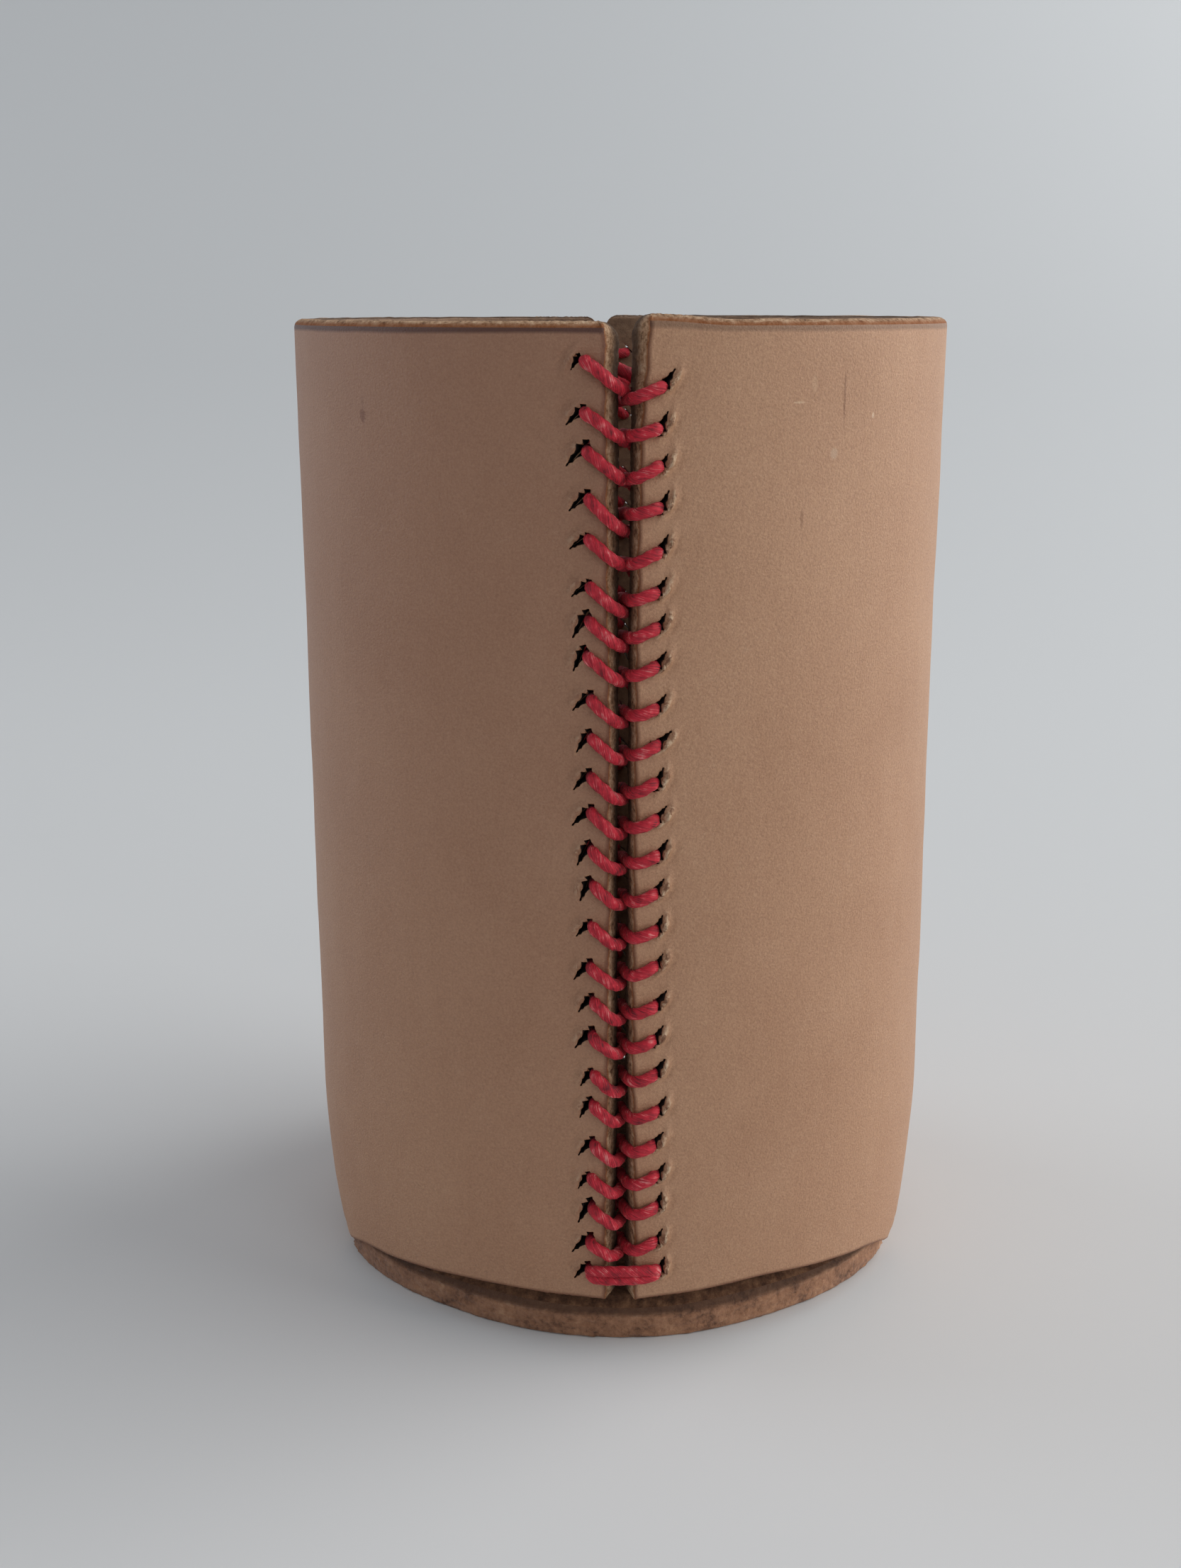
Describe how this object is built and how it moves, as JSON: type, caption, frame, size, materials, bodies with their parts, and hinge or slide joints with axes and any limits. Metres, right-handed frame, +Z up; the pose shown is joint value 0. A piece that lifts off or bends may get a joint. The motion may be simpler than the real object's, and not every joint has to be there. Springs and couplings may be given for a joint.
{
  "type": "dice cup",
  "caption": "Tall round leather dice cup with an open mouth: two walls turned up from a round base and laced edge to edge with waxed thread at front and back.",
  "frame": {"origin": "centre of the underside of the base, on the surface that the cup stands on", "axes": "+Z up along the cup's axis to the mouth; the front seam faces -Y and the back seam +Y; the walls fold up from the base at -X and +X"},
  "size_m": [0.076, 0.0788, 0.114],
  "materials": {
    "veg_tan_leather": "natural vegetable-tanned grain, smooth, satin, undyed",
    "base_leather": "the same leather with its fibrous cut edge and flesh side showing",
    "waxed_thread": "twisted red thread, waxed, slightly fuzzy"
  },
  "bodies": {
    "root": {"wall_left": "veg_tan_leather", "wall_right": "veg_tan_leather", "base_disc": "base_leather", "front_seam_thread": "waxed_thread", "back_seam_thread": "waxed_thread"}
  },
  "joints": []
}
